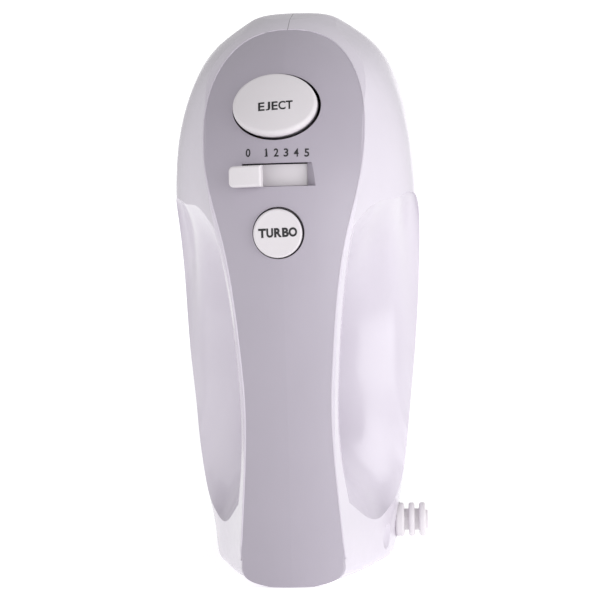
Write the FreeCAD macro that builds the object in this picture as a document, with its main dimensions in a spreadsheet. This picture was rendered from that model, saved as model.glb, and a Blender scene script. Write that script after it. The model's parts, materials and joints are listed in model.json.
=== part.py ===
import FreeCAD, Part
import math
import os
import re

# Hand mixer with two wire beaters, standing on its heel.
# Z runs from the heel (0) to the nose, X is sideways, and the controls face -Y.
# Heights over the mixer's flat base are written "up": a point's Y is BASE_Y - up.

V = FreeCAD.Vector
doc = FreeCAD.newDocument("hand_mixer")

# ---------------------------------------------------------------- driving sizes

SIZES = {
    "body_length": 200.0,
    "base_offset": 62.0,
    "wall": 2.4,
    "cover_thickness": 2.2,
    "fit_gap": 0.05,
    # controls
    "eject_half_width": 14.0,
    "eject_half_length": 11.0,
    "eject_centre": 157.9,
    "eject_shift": -2.4,
    "eject_raise": 3.0,
    "eject_gap": 0.75,
    "turbo_radius": 7.9,
    "turbo_centre": 115.4,
    "turbo_shift": -1.4,
    "turbo_raise": 1.2,
    "turbo_gap": 0.55,
    "slot_width": 23.4,
    "slot_length": 7.8,
    "slot_centre": 134.5,
    "slot_shift": -1.25,
    "slot_skirt": 1.0,
    "drum_radius": 38.0,
    "drum_up": 88.0,
    "drum_length": 7.0,
    "knob_rest": -13.35,
    # motor
    "motor_up": 33.0,
    "shaft_radius": 2.5,
    "shaft_start": 30.0,
    "shaft_end": 180.0,
    "core_radius": 13.6,
    "core_start": 60.0,
    "core_end": 86.0,
    "stator_radius": 26.0,
    "stator_flat": 21.0,
    "commutator_radius": 8.0,
    "commutator_start": 43.5,
    "commutator_end": 52.5,
    "fan_radius": 21.0,
    "fan_start": 94.0,
    "fan_end": 102.0,
    "bearing_radius": 7.0,
    # gears
    "wheel_side": 20.0,
    "wheel_centre": 157.0,
    "wheel_radius": 16.0,
    "wheel_teeth": 32.0,
    "worm_radius": 4.0,
    "worm_starts": 2.0,
    "tooth_module": 1.0,
    "wheel_bottom": 29.0,
    "wheel_top": 37.0,
    "spindle_radius": 5.5,
    "spindle_bottom": 8.0,
    "spindle_top": 50.0,
    # beaters
    "beater_shaft_radius": 3.0,
    "beater_top": 49.0,
    "beater_tip": 128.0,
    "beater_reach": 21.0,
    "blade_width": 6.0,
    "blade_thickness": 1.2,
    # strain relief
    "cord_up": 50.0,
    "cord_at": 12.4,
    "relief_radius": 6.15,
    "relief_groove": 3.9,
    "cord_bore": 2.6,
}

sheet = doc.addObject("Spreadsheet::Sheet", "sizes")
for row, (alias, number) in enumerate(SIZES.items(), start=1):
    sheet.set(f"A{row}", alias)
    sheet.set(f"B{row}", str(number))
    sheet.setAlias(f"B{row}", alias)
doc.recompute()


def size(alias):
    return float(getattr(sheet, alias))


def bound(text):
    """An expression in sheet aliases, such as "wall + 2", as FreeCAD reads it."""
    return re.sub(r"[a-z_]+", lambda m: "sizes." + m.group() if m.group() in SIZES else m.group(), str(text))


BASE_Y = size("base_offset")
WALL = size("wall")
COVER = size("cover_thickness")
FIT = size("fit_gap")


def P(x, up, z):
    return V(x, BASE_Y - up, z)


UP, DOWN = V(0, -1, 0), V(0, 1, 0)
NOSEWARD, RIGHT, LEFT = V(0, 0, 1), V(1, 0, 0), V(-1, 0, 0)

# ---------------------------------------------------------------- document helpers


def bind(obj, **fields):
    for field, text in fields.items():
        obj.setExpression(field, bound(text))
    return obj


def cylinder(radius, height, start, direction):
    obj = bind(doc.addObject("Part::Cylinder", "cylinder"), Radius=radius, Height=height)
    obj.Placement = FreeCAD.Placement(start, FreeCAD.Rotation(V(0, 0, 1), direction))
    return obj


def box(width, depth, length, corner):
    """Width along X, depth along Y and length along Z, from its lowest corner."""
    obj = bind(doc.addObject("Part::Box", "block"), Length=width, Width=depth, Height=length)
    obj.Placement.Base = corner
    return obj


def fused(*objs):
    if len(objs) == 1:
        return objs[0]
    out = doc.addObject("Part::MultiFuse", "fused")
    out.Shapes = list(objs)
    return out


def cut(base, *tools):
    out = doc.addObject("Part::Cut", "cut")
    out.Base = base
    out.Tool = fused(*tools)
    return out


def tube(outer, inner, height, start, direction):
    return cut(cylinder(outer, height, start, direction), cylinder(inner, height, start, direction))


def surface_feature(shape):
    obj = doc.addObject("Part::Feature", "formed")
    obj.Shape = shape
    return obj


nodes = []


def node(name, obj):
    obj.Label = name
    nodes.append(obj)
    return obj


# ---------------------------------------------------------------- outer form

# Places along each level's outline, as a share of the distance from heel to nose.
STATIONS = [0.05, 0.15, 0.28, 0.42, 0.57, 0.70, 0.80, 0.88, 0.94, 0.98]
WIDEST = [33.4, 36.2, 39.1, 42.1, 43.9, 43.6, 41.3, 36.7, 29.0, 18.6]
# Height, nose position and half widths of the housing at that height.
LEVELS = [
    (-3.0, 187.0, [w * 0.80 for w in WIDEST]),
    (6.0, 193.0, [w * 0.89 for w in WIDEST]),
    (25.0, 198.6, [w * 0.975 for w in WIDEST]),
    (46.0, size("body_length"), WIDEST),
    (66.0, 195.8, [31.0, 34.5, 37.7, 41.0, 43.2, 43.0, 40.8, 36.0, 28.3, 17.5]),
    (86.0, 189.3, [25.2, 25.6, 26.8, 29.6, 36.0, 39.4, 38.2, 33.6, 26.3, 16.5]),
    (104.0, 181.0, [20.4, 19.6, 19.2, 20.4, 26.8, 31.9, 32.3, 29.0, 23.6, 15.8]),
    (122.0, 173.5, [15.6, 15.2, 15.0, 16.2, 19.4, 24.2, 25.2, 22.5, 17.3, 10.8]),
    (142.0, 163.0, [10.8, 10.3, 10.2, 11.2, 13.6, 17.0, 18.0, 16.2, 12.4, 7.6]),
]
HEEL_BELOW = 0.8


def spline_edge(points, **tangents):
    curve = Part.BSplineCurve()
    curve.interpolate(Points=points, **tangents)
    return curve.toShape()


def heel_rounding(up):
    """How far the heel's corners are drawn in: none low down, fully at the handle's height."""
    return min(max((up - 86.0) / 36.0, 0.0), 1.0)


def outline(up, nose, widths, inset):
    """Closed half outline at one height, from the heel round to the nose."""
    soft = heel_rounding(up)
    half = [w - inset for w in widths]
    nose -= inset
    heel = inset - HEEL_BELOW
    corner = 0.985 * half[0]
    path = [(0, heel), (0.6 * corner, heel + 1.2 * soft), (0.87 * corner, heel + 0.5 + 2.0 * soft)]
    path += [(0.97 * corner, heel + 2.2 + 1.6 * soft), (corner, heel + 5.2 + 0.6 * soft)]
    path += [(w, nose * s) for w, s in zip(half, STATIONS)]
    path += [(0, nose)]
    edge = spline_edge([P(x, up, z) for x, z in path], InitialTangent=RIGHT, FinalTangent=LEFT)
    return Part.Wire([edge, Part.makeLine(P(0, up, nose), P(0, up, heel))])


# The crown: centre-line height and cross radius of the top surface along the body.
CROWN = [
    (-12, 122.0, 26), (8, 123.2, 26), (30, 124.2, 28), (52, 125.6, 30), (74, 127.6, 32), (96, 130.2, 36),
    (114, 131.2, 41), (130, 130.4, 44), (144, 126.8, 46), (156, 121.0, 46), (167, 113.2, 44),
    (177, 103.4, 42), (185, 92.2, 40), (191.5, 79.5, 38), (197.0, 65.0, 36), (202.5, 48.0, 36),
    (207.0, 28.0, 36), (210.0, 6.0, 36),
    (212.0, -20.0, 36),
]


def crown_normals():
    """Outward normal of the centre line at each crown station, in (z, up)."""
    normals = []
    for i in range(len(CROWN)):
        before = CROWN[max(i - 1, 0)]
        after = CROWN[min(i + 1, len(CROWN) - 1)]
        run, rise = after[0] - before[0], after[1] - before[1]
        length = math.hypot(run, rise)
        normals.append((-rise / length, run / length))
    return normals


CROWN_NORMALS = crown_normals()


def crown_face(depth):
    """The top surface, sunk by depth along its own normal."""
    arcs = []
    for (z, up, radius), (nz, nup) in zip(CROWN, CROWN_NORMALS):
        points = []
        for x in (-64, -44, -26, -12, 0, 12, 26, 44, 64):
            drop = x * x / (2 * radius) + depth
            points.append(P(x, up - nup * drop, z - nz * drop))
        arcs.append(Part.Wire([spline_edge(points)]))
    return Part.makeLoft(arcs, False, False)


def under_crown(solid, depth):
    """The part of a solid that lies under the sunk top surface."""
    pieces = solid.generalFuse([crown_face(depth)])[0].Solids
    return max(pieces, key=lambda piece: piece.Volume)


# The hand opening, by sideways place: floor height, then front and rear ends at mid height and at the top.
OPENING = [
    (0, 68.0, 104, 108, 38, 36),
    (12, 67.4, 105, 109, 36, 33.5),
    (20, 66.0, 110, 114, 26, 22),
    (28, 62.8, 118.5, 124.5, 14.5, 9),
    (36, 57.6, 126, 131, 6, -1),
    (50, 45.0, 128, 132, -4, -14),
]
OPEN_TOP = 150.0


def opening_wire(row, grow):
    x, floor, front_mid, front_top, rear_mid, rear_top = row
    floor -= grow
    front_mid += grow
    front_top += grow
    rear_mid -= grow
    rear_top -= grow
    path = [(rear_top - 2, OPEN_TOP), (rear_top, 116), (rear_mid, 88), (0.75 * rear_mid + 10.5, floor + 7)]
    path += [(44, floor), (66, floor), (88, floor)]
    path += [(0.62 * front_mid + 33.5, floor + 7), (front_mid, 88)]
    path += [(front_top, 116), (front_top + 3, OPEN_TOP)]
    edge = spline_edge([P(x, up, z) for z, up in path])
    return Part.Wire([edge, Part.makeLine(P(x, OPEN_TOP, front_top + 3), P(x, OPEN_TOP, rear_top - 2))])


# The grip left standing in the opening: half width and underside height along the body.
GRIP = [
    (4, 22.0, 58), (20, 19.0, 71), (36, 17.0, 84), (52, 15.9, 91), (70, 16.5, 95.5), (88, 17.9, 97.5),
    (102, 19.6, 96), (114, 21.6, 88), (126, 27.0, 74), (140, 36.0, 58),
]


def grip_half(shrink):
    wires = []
    for z, half, under in GRIP:
        half -= shrink
        under += shrink
        middle = 0.5 * (under + 118)
        path = [(half, OPEN_TOP), (half, middle + 6), (0.9 * half, 0.65 * middle + 0.35 * under)]
        path += [(0.55 * half, under + 0.07 * (118 - under)), (0, under)]
        side = spline_edge([P(x, up, z) for x, up in path], InitialTangent=DOWN, FinalTangent=LEFT)
        top_middle, top_side = P(0, OPEN_TOP, z), P(half, OPEN_TOP, z)
        inside = Part.makeLine(P(0, under, z), top_middle)
        wires.append(Part.Wire([side, inside, Part.makeLine(top_middle, top_side)]))
    return Part.makeLoft(wires, True, False)


def body_half(inset, depth):
    """The right half of the outer form, or of the hollow inside it when inset."""
    skin = Part.makeLoft([outline(*level, inset) for level in LEVELS], True, False)
    rows = [(-row[0],) + row[1:] for row in OPENING[:0:-1]] + OPENING
    opening = Part.makeLoft([opening_wire(row, inset) for row in rows], True, False)
    half = under_crown(skin, depth).cut(opening.cut(grip_half(inset)))
    over_base = Part.makeBox(200, 200, 300, V(-100, -200 + BASE_Y - inset, inset))
    return half.common(over_base)


# Half width of the grey top cover along the body, from the heel to its rounded tip near the nose.
COVER_EDGE = [
    (-3, 17.8), (20, 16.3), (34, 15.2), (48, 14.4), (61, 14.3), (74, 15.1), (87, 16.2), (99, 17.6),
    (109, 19.2), (119, 21.5), (129, 24.1), (139, 25.9), (150, 26.7), (161, 26.2), (170, 24.0), (178, 20.0),
    (184, 14.2),
]
COVER_TIP = 187.6


def cover_prism(grow):
    """The cover's outline, drawn through the whole height."""
    right = [(half + grow, z) for z, half in COVER_EDGE]
    left = [(-half, z) for half, z in right[::-1]]
    low = P(0, -30, 0).y
    points = [V(x, low, z) for x, z in right + [(0, COVER_TIP + grow)] + left]
    wire = Part.Wire([spline_edge(points), Part.makeLine(points[-1], points[0])])
    return Part.Face(wire).extrude(UP * 220)


def over_crown(solid, depth):
    pieces = solid.generalFuse([crown_face(depth)])[0].Solids
    return min(pieces, key=lambda piece: piece.CenterOfMass.y)


outer_right = body_half(0.0, 0.0)
hollow_right = body_half(WALL, COVER + WALL)
outer_left = outer_right.mirror(V(0, 0, 0), RIGHT)
hollow_left = hollow_right.mirror(V(0, 0, 0), RIGHT)
whole = outer_right.fuse(outer_left)
cover_seat = over_crown(cover_prism(0.0), COVER)

# ---------------------------------------------------------------- holes, bosses and vents

EJECT = (size("eject_shift"), size("eject_centre"))
TURBO = (size("turbo_shift"), size("turbo_centre"))
SLOT = (size("slot_shift"), size("slot_centre"))
# The keys sit a little up and to the left in their holes.
EJECT_HOLE_SHIFT = (0.38, -0.2)
TURBO_HOLE_SHIFT = 0.17


def ellipse_prism(centre, half_width, half_length, low, high):
    """An upright oval block between two heights."""
    x, z = centre
    middle = P(x, low, z)
    ring = Part.Ellipse(V(0, 0, 0), half_width, half_length).toShape()
    ring.Placement = FreeCAD.Placement(middle, FreeCAD.Rotation(V(1, 0, 0), 90))
    return Part.Face(Part.Wire(ring)).extrude(UP * (high - low))


def round_bar(radius, start, end):
    return Part.makeCylinder(radius, (end - start).Length, start, end - start)


def block(x, up, z):
    """A block between two limits each way: x, height over the base, and z."""
    return Part.makeBox(x[1] - x[0], up[1] - up[0], z[1] - z[0], P(x[0], up[1], z[0]))


EJECT_HOLE = ellipse_prism((EJECT[0] + EJECT_HOLE_SHIFT[0], EJECT[1] + EJECT_HOLE_SHIFT[1]),
                           size("eject_half_width") + size("eject_gap"),
                           size("eject_half_length") + size("eject_gap"), 96, 150)
TURBO_HOLE = round_bar(size("turbo_radius") + size("turbo_gap"),
                       P(TURBO[0] + TURBO_HOLE_SHIFT, 115, TURBO[1] + TURBO_HOLE_SHIFT),
                       P(TURBO[0] + TURBO_HOLE_SHIFT, 150, TURBO[1] + TURBO_HOLE_SHIFT))
# The slot's far end wall leans outwards: its foot, and how far it runs out per millimetre of height.
WALL_FOOT_UP = 125.6
WALL_FOOT_INSET = 2.2
WALL_LEAN = 0.85


def slot_hole(grow):
    """The lever's slot, wider all round by grow."""
    half, reach = size("slot_length") / 2 + grow, size("slot_width") / 2
    x, z = SLOT
    near, foot = x - reach - grow, x + reach - WALL_FOOT_INSET + grow
    lip = foot + WALL_LEAN * (136 - WALL_FOOT_UP)
    profile = [(near, 150), (near, 112), (foot, 112), (foot, WALL_FOOT_UP), (lip, 136), (lip, 150)]
    points = [P(px, up, z - half) for px, up in profile]
    face = Part.Face(Part.makePolygon(points + points[:1]))
    return face.extrude(NOSEWARD * 2 * half)


SLOT_HOLE = slot_hole(0)
SKIRT_HOLE = slot_hole(size("slot_skirt"))
DRUM_POCKET = Part.makeCylinder(size("drum_radius") + 0.8, size("drum_length") + 1.4,
                                P(0, size("drum_up"), SLOT[1] - size("drum_length") / 2 - 0.7), NOSEWARD)
DRUM_POCKET = DRUM_POCKET.common(block((-25, 25), (98, 140), (SLOT[1] - 10, SLOT[1] + 10)))

# Places as (height, z): screws at the heel, ahead of the motor and in the nose.
# The dowels sit high up, where a screw would show.
BOSSES = [(14, 14), (10, 122), (40, 191)]
DOWELS = [(46, 122), (88, 16), (97, 172.5)]
DOWEL_REACH = 6.0
BOSS_RADIUS = 4.2
SCREW_RADIUS = 1.5
HEAD_RADIUS = 3.0
HEAD_SEAT = 7.0


def right_bosses():
    bars = [round_bar(BOSS_RADIUS, P(0, up, z), P(60, up, z)) for up, z in BOSSES + DOWELS]
    return [bar.common(outer_right) for bar in bars]


def left_bosses():
    bars = [round_bar(BOSS_RADIUS + 1.0, P(-60, up, z), P(0, up, z)) for up, z in BOSSES]
    bars += [round_bar(BOSS_RADIUS, P(-60, up, z), P(0, up, z)) for up, z in DOWELS]
    return [bar.common(outer_left) for bar in bars]


def screw_bores(head_side):
    """Screw holes, with a wide bore for the head on the left side."""
    bores = [round_bar(SCREW_RADIUS, P(-HEAD_SEAT, up, z), P(16, up, z)) for up, z in BOSSES]
    bores += [round_bar(SCREW_RADIUS, P(-DOWEL_REACH, up, z), P(DOWEL_REACH, up, z)) for up, z in DOWELS]
    if head_side:
        bores += [round_bar(HEAD_RADIUS + 0.3, P(-60, up, z), P(-HEAD_SEAT, up, z)) for up, z in BOSSES]
    return bores


VENT_ROWS = [10 + 4.2 * i for i in range(4)]


def vent_slots(side):
    """Air slots low on the flank, round-ended and level, beside the motor's fan and commutator."""
    slots = []
    for start, end in ((40, 58), (88, 106)):
        for up in VENT_ROWS:
            bar = block((20, 60), (up - 0.9, up + 0.9), (start, end))
            ends = [round_bar(0.9, P(20, up, z), P(60, up, z)) for z in (start, end)]
            slots.append(bar.fuse(ends))
    if side < 0:
        slots = [slot.mirror(V(0, 0, 0), RIGHT) for slot in slots]
    return slots


PORT_RADIUS = 9.0
WHEEL_X, WHEEL_Z = size("wheel_side"), size("wheel_centre")


def port_holes():
    return [round_bar(PORT_RADIUS, P(x, -1, WHEEL_Z), P(x, 6, WHEEL_Z)) for x in (-WHEEL_X, WHEEL_X)]


CORD_UP, CORD_Z = size("cord_up"), size("cord_at")
CORD_NECK = 4.4
CORD_HOLE = round_bar(CORD_NECK, P(20, CORD_UP, CORD_Z), P(60, CORD_UP, CORD_Z))
RELIEF_FACE = 32.8
RELIEF_POCKET = round_bar(size("relief_radius") + 0.5,
                          P(RELIEF_FACE, CORD_UP, CORD_Z), P(60, CORD_UP, CORD_Z))


def relief_recess():
    """The shallow oval dimple beside the cord's exit."""
    ball = Part.makeSphere(7.0)
    ball.Placement.Base = P(35.2, 71.0, 8.5)
    return ball


def shell(outer, hollow, bosses, tools):
    walls = outer.cut(hollow)
    walls = walls.fuse(bosses)
    walls = walls.cut(tools)
    return max(walls.Solids, key=lambda piece: piece.Volume)


COMMON_TOOLS = [cover_seat, EJECT_HOLE, TURBO_HOLE, SKIRT_HOLE, DRUM_POCKET] + port_holes()
RIGHT_TOOLS = screw_bores(False) + vent_slots(1) + [CORD_HOLE, RELIEF_POCKET, relief_recess()]
right_shell = shell(outer_right, hollow_right, right_bosses(), COMMON_TOOLS + RIGHT_TOOLS)
left_shell = shell(outer_left, hollow_left, left_bosses(), COMMON_TOOLS + screw_bores(True) + vent_slots(-1))
node("housing_right", surface_feature(right_shell))
node("housing_left", surface_feature(left_shell))



def slot_skirt():
    """Collar that carries the cover's slot down to just above the drum."""
    low = SLOT[1] - size("slot_length")
    reach = size("drum_radius") + 0.6
    clear = Part.makeCylinder(reach, 2 * size("slot_length"), P(0, size("drum_up"), low), NOSEWARD)
    return SKIRT_HOLE.common(whole).cut(clear)


cover = whole.common(cover_seat).fuse(slot_skirt())
cover = cover.cut([EJECT_HOLE, TURBO_HOLE, SLOT_HOLE])
cover = max(cover.Solids, key=lambda piece: piece.Volume)
node("top_cover", surface_feature(cover))


def screws(places, seat, length, head_height, shank, head, direction):
    """One node of round-headed screws; each place is the seat of the head."""
    made = []
    for place in places:
        start = place + direction * seat
        made.append(round_bar(shank, start, start + direction * length))
        made[-1] = made[-1].fuse(round_bar(head, start - direction * head_height, start))
        cross = start - direction * head_height
        for turn in (0, 90):
            slot = Part.makeBox(head_height, 0.8, 3.0, V(-0.1, -0.4, -1.5))
            slot.Placement = FreeCAD.Placement(cross, FreeCAD.Rotation(V(1, 0, 0), direction)).multiply(
                FreeCAD.Placement(V(-head_height * 0.4, 0, 0), FreeCAD.Rotation(V(1, 0, 0), turn)))
            made[-1] = made[-1].cut(slot)
    return Part.makeCompound(made)


node("housing_screws", surface_feature(
    screws([P(0, up, z) for up, z in BOSSES], -HEAD_SEAT, 20, 2.2, SCREW_RADIUS, HEAD_RADIUS, RIGHT)))

dowels = [round_bar(SCREW_RADIUS, P(-DOWEL_REACH, up, z), P(DOWEL_REACH, up, z)) for up, z in DOWELS]
node("locating_dowels", surface_feature(Part.makeCompound(dowels)))

# ---------------------------------------------------------------- cord strain relief

RELIEF_INNER = 26.8


def strain_relief():
    """Ribbed sleeve round the cord's exit, in one piece with its inner flange."""
    ribs = [(0.0, 3.3), (4.9, 7.1), (8.7, 11.1)]
    nub_end = ribs[-1][1] + 0.8

    def sleeve(radius, start, end):
        return round_bar(radius, P(start, CORD_UP, CORD_Z), P(end, CORD_UP, CORD_Z))

    parts = [sleeve(6.4, RELIEF_INNER, RELIEF_INNER + 2.4)]
    parts.append(sleeve(CORD_NECK, RELIEF_INNER + 2.4, RELIEF_FACE))
    for start, end in ribs:
        rib = sleeve(size("relief_radius"), RELIEF_FACE + start, RELIEF_FACE + end)
        parts.append(rib.makeFillet(0.9, [e for e in rib.Edges if isinstance(e.Curve, Part.Circle)]))
    parts.append(sleeve(3.4, RELIEF_FACE + ribs[-1][1], RELIEF_FACE + nub_end))
    core = sleeve(size("relief_groove"), RELIEF_INNER, RELIEF_FACE + ribs[-1][1])
    return core.fuse(parts).cut(sleeve(size("cord_bore"), RELIEF_INNER - 1, RELIEF_FACE + nub_end + 1))


node("strain_relief", surface_feature(strain_relief()))
node("cord_clamp", cut(box(7, 12, 8, P(14, CORD_UP + 6, CORD_Z - 4)),
                       cylinder("cord_bore", 20, P(10, CORD_UP, CORD_Z), RIGHT)))

# ---------------------------------------------------------------- motor

MOTOR_UP = size("motor_up")


def motor_point(z, x=0.0, up=0.0):
    return P(x, MOTOR_UP + up, z)


def armature():
    core_length = "core_end - core_start"
    core = cylinder("core_radius", core_length, motor_point(size("core_start")), NOSEWARD)
    slots = []
    for i in range(12):
        angle = math.radians(30 * i)
        x, up = 11.6 * math.cos(angle), 11.6 * math.sin(angle)
        slots.append(cylinder(1.1, core_length, motor_point(size("core_start"), x, up), NOSEWARD))
        x, up = 13.4 * math.cos(angle), 13.4 * math.sin(angle)
        slots.append(cylinder(0.6, core_length, motor_point(size("core_start"), x, up), NOSEWARD))
    bore = cylinder("shaft_radius", core_length, motor_point(size("core_start")), NOSEWARD)
    node("armature_core", cut(core, bore, *slots))
    node("armature_shaft", cylinder("shaft_radius", "shaft_end - shaft_start",
                                    motor_point(size("shaft_start")), NOSEWARD))
    rings = [tube(12.2, "shaft_radius", 6, motor_point(z), NOSEWARD) for z in (54, 86)]
    node("armature_windings", fused(*rings))
    barrel = cylinder("commutator_radius", "commutator_end - commutator_start",
                      motor_point(size("commutator_start")), NOSEWARD)
    grooves = []
    for i in range(12):
        groove = box(0.5, 1.2, 9, V(7.4, -0.6, 0))
        turn = FreeCAD.Rotation(NOSEWARD, 30 * i + 15)
        spin = FreeCAD.Placement(motor_point(size("commutator_start")), turn)
        groove.Placement = spin.multiply(FreeCAD.Placement(V(7.5, -0.25, 0), FreeCAD.Rotation()))
        grooves.append(groove)
    bore = cylinder("shaft_radius", 9, motor_point(size("commutator_start")), NOSEWARD)
    node("commutator", cut(barrel, bore, *grooves))


armature()


def fan():
    start, end = size("fan_start"), size("fan_end")
    disc = round_bar(size("fan_radius"), motor_point(start), motor_point(start + 1.4))
    hub = round_bar(6.0, motor_point(start), motor_point(end))
    blades = []
    for i in range(11):
        blade = Part.makeBox(size("fan_radius") - 6.2, 1.0, end - start, V(5.6, -0.5, 0))
        lean = FreeCAD.Placement(V(0, 0, 0), FreeCAD.Rotation(NOSEWARD, 360 * i / 11))
        blade.Placement = FreeCAD.Placement(motor_point(start), FreeCAD.Rotation()).multiply(lean)
        blades.append(blade)
    wheel = disc.fuse([hub] + blades)
    return wheel.cut(round_bar(size("shaft_radius"), motor_point(start - 1), motor_point(end + 1)))


node("cooling_fan", surface_feature(fan()))


def flat_sided(radius, flat, start, end):
    bar = round_bar(radius, motor_point(start), motor_point(end))
    keep = block((-radius - 1, radius + 1), (MOTOR_UP - flat, MOTOR_UP + flat), (start, end))
    return bar.common(keep)


def stator():
    start, end = size("core_start"), size("core_end")
    core = flat_sided(size("stator_radius"), size("stator_flat"), start, end)
    pole_bore = round_bar(size("core_radius") + 0.5, motor_point(start), motor_point(end))
    pockets = []
    for side in (-1, 1):
        for high in (-1, 1):
            x, rise = 17.0 * side, 8.6 * high
            pockets.append(round_bar(3.6, motor_point(start, x, rise), motor_point(end, x, rise)))
    return core.cut([pole_bore] + pockets)


node("stator_core", surface_feature(stator()))


def field_coils():
    """Two saddle coils: four bars through the stator, joined by half rings at each end."""
    start, end = size("core_start"), size("core_end")
    coils = []
    for high in (-1, 1):
        bars = []
        for side in (-1, 1):
            place = (17.0 * side, 8.6 * high)
            bars.append(round_bar(3.6, motor_point(start - 6, *place), motor_point(end + 6, *place)))
        for low in (start - 6, end + 0.02):
            ring = Part.makeCylinder(21.5, 5.98, motor_point(low), NOSEWARD).cut(
                Part.makeCylinder(15.6, 5.98, motor_point(low), NOSEWARD))
            keep = (3.0, 20.9) if high > 0 else (-20.9, -3.0)
            slab = block((-23, 23), (MOTOR_UP + keep[0], MOTOR_UP + keep[1]), (low, low + 5.98))
            bars.append(ring.common(slab))
        coils.append(bars[0].fuse(bars[1:]))
    return Part.makeCompound(coils)


node("field_coils", surface_feature(field_coils()))


def motor_bracket(plate, arms, arm_x, half_width):
    """A cross plate that holds a bearing, with two arms to the stator's end face."""
    body = block((-half_width, half_width), (MOTOR_UP - 9, MOTOR_UP + 9), plate)
    for side in (-1, 1):
        limits = sorted((side * arm_x[0], side * arm_x[1]))
        body = body.fuse(block(limits, (MOTOR_UP - 5, MOTOR_UP + 5), arms))
    return body.cut(round_bar(size("bearing_radius"), motor_point(plate[0] - 1), motor_point(plate[1] + 1)))


REAR_PLATE, FRONT_PLATE = (32.0, 36.0), (104.5, 108.5)
rear_bracket = motor_bracket(REAR_PLATE, (32.0, size("core_start")), (22.2, 24.6), 24.6)
node("motor_rear_bracket", surface_feature(rear_bracket))
node("motor_front_bracket", surface_feature(
    motor_bracket(FRONT_PLATE, (size("core_end"), 108.5), (22.2, 24.6), 24.6)))
for name, plate in (("rear_bearing", REAR_PLATE), ("front_bearing", FRONT_PLATE)):
    node(name, tube("bearing_radius", "shaft_radius + fit_gap", 4, motor_point(plate[0]), NOSEWARD))

BRUSH_Z = 48.0


def brush_block(side, inner, outer, half_height, half_length):
    """A block beside the commutator, from one distance from the shaft to another."""
    rise = (MOTOR_UP - half_height, MOTOR_UP + half_height)
    run = (BRUSH_Z - half_length, BRUSH_Z + half_length)
    return block(sorted((side * inner, side * outer)), rise, run)


def brush_gear():
    """Brass holders on both sides of the commutator, each with its carbon and spring."""
    holders, carbons, springs = [], [], []
    for side in (-1, 1):
        holder = brush_block(side, 9.0, 22.2, 4.0, 3.5)
        well = brush_block(side, 9.0, 21.2, 3.0, 2.5)
        holders.append(holder.cut(well))
        carbons.append(brush_block(side, 8.1, 15.0, 3.0, 2.5))
        springs.append(round_bar(1.9, motor_point(BRUSH_Z, side * 15.0), motor_point(BRUSH_Z, side * 21.2)))
    node("brush_holders", surface_feature(Part.makeCompound(holders)))
    node("carbon_brushes", surface_feature(Part.makeCompound(carbons)))
    node("brush_springs", surface_feature(Part.makeCompound(springs)))


brush_gear()

# ---------------------------------------------------------------- worm and wheels

MODULE = size("tooth_module")
TEETH = int(size("wheel_teeth"))
WHEEL_R, WORM_R = size("wheel_radius"), size("worm_radius")
STARTS = int(size("worm_starts"))
PITCH = math.pi * MODULE
LEAD = PITCH * STARTS
LEAD_ANGLE = math.atan2(LEAD, 2 * math.pi * WORM_R)
# A thread crest faces each wheel's axis, so the worm starts a whole number of pitches behind it.
WORM_FROM = size("wheel_centre") - 5 * PITCH
WORM_TO = WORM_FROM + 10 * PITCH
TIP_HALF, ROOT_HALF = 0.20 * MODULE, 0.50 * MODULE


def worm():
    """Two-start thread on a hub, cut square at both ends."""
    length = WORM_TO - WORM_FROM
    inner = WORM_R - 1.15 * MODULE
    outer = WORM_R + 0.80 * MODULE
    hub = Part.makeCylinder(inner, length)
    threads = []
    for start in range(STARTS):
        low = -LEAD
        path = Part.makeHelix(LEAD, length + 2 * LEAD, WORM_R)
        path.Placement.Base = V(0, 0, low)
        profile = [(inner - 0.3, -ROOT_HALF), (outer, -TIP_HALF), (outer, TIP_HALF), (inner - 0.3, ROOT_HALF)]
        points = [V(r, 0, low + dz) for r, dz in profile]
        wire = Part.makePolygon(points + points[:1])
        pipe = Part.BRepOffsetAPI.MakePipeShell(Part.Wire(path.Edges))
        pipe.setFrenetMode(True)
        pipe.add(wire)
        pipe.build()
        pipe.makeSolid()
        thread = pipe.shape()
        thread.rotate(V(0, 0, 0), V(0, 0, 1), 360.0 * start / STARTS)
        threads.append(thread.common(Part.makeCylinder(outer + 1, length)))
    body = hub.fuse(threads)
    body = body.cut(Part.makeCylinder(size("shaft_radius"), length))
    body.Placement = FreeCAD.Placement(motor_point(WORM_FROM), FreeCAD.Rotation())
    return body


def wheel_section(shift):
    """A toothed disc outline, turned by the given angle, as one closed wire."""
    tip, root = WHEEL_R + 0.80 * MODULE, WHEEL_R - 1.15 * MODULE
    points = []
    for i in range(TEETH):
        middle = 2 * math.pi * (i + 0.5) / TEETH + shift
        for radius, half in ((root, -ROOT_HALF), (tip, -TIP_HALF), (tip, TIP_HALF), (root, ROOT_HALF)):
            angle = middle + half / WHEEL_R
            points.append(V(radius * math.cos(angle), radius * math.sin(angle), 0))
    return Part.makePolygon(points + points[:1])


def wheel():
    """A wheel with slanted teeth, as it meshes with the right side of the worm."""
    thickness = size("wheel_top") - size("wheel_bottom")
    slant = thickness / 2 * math.tan(LEAD_ANGLE) / WHEEL_R
    wires = []
    for share in (-1, 0, 1):
        wire = wheel_section(slant * share)
        wire.translate(V(0, 0, share * thickness / 2))
        wires.append(wire)
    gear = Part.makeLoft(wires, True, True)
    gear = gear.cut(Part.makeCylinder(size("spindle_radius"), thickness + 2, V(0, 0, -thickness / 2 - 1)))
    return gear


def place_wheel(gear, side):
    """Lays the wheel flat, with its axis upright beside the worm."""
    gear = gear.copy()
    gear.rotate(V(0, 0, 0), V(1, 0, 0), 90)
    if side < 0:
        gear.rotate(V(0, 0, 0), V(0, 0, 1), 180)
    middle = 0.5 * (size("wheel_top") + size("wheel_bottom"))
    gear.translate(P(side * WHEEL_X, middle, WHEEL_Z))
    return gear


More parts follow.
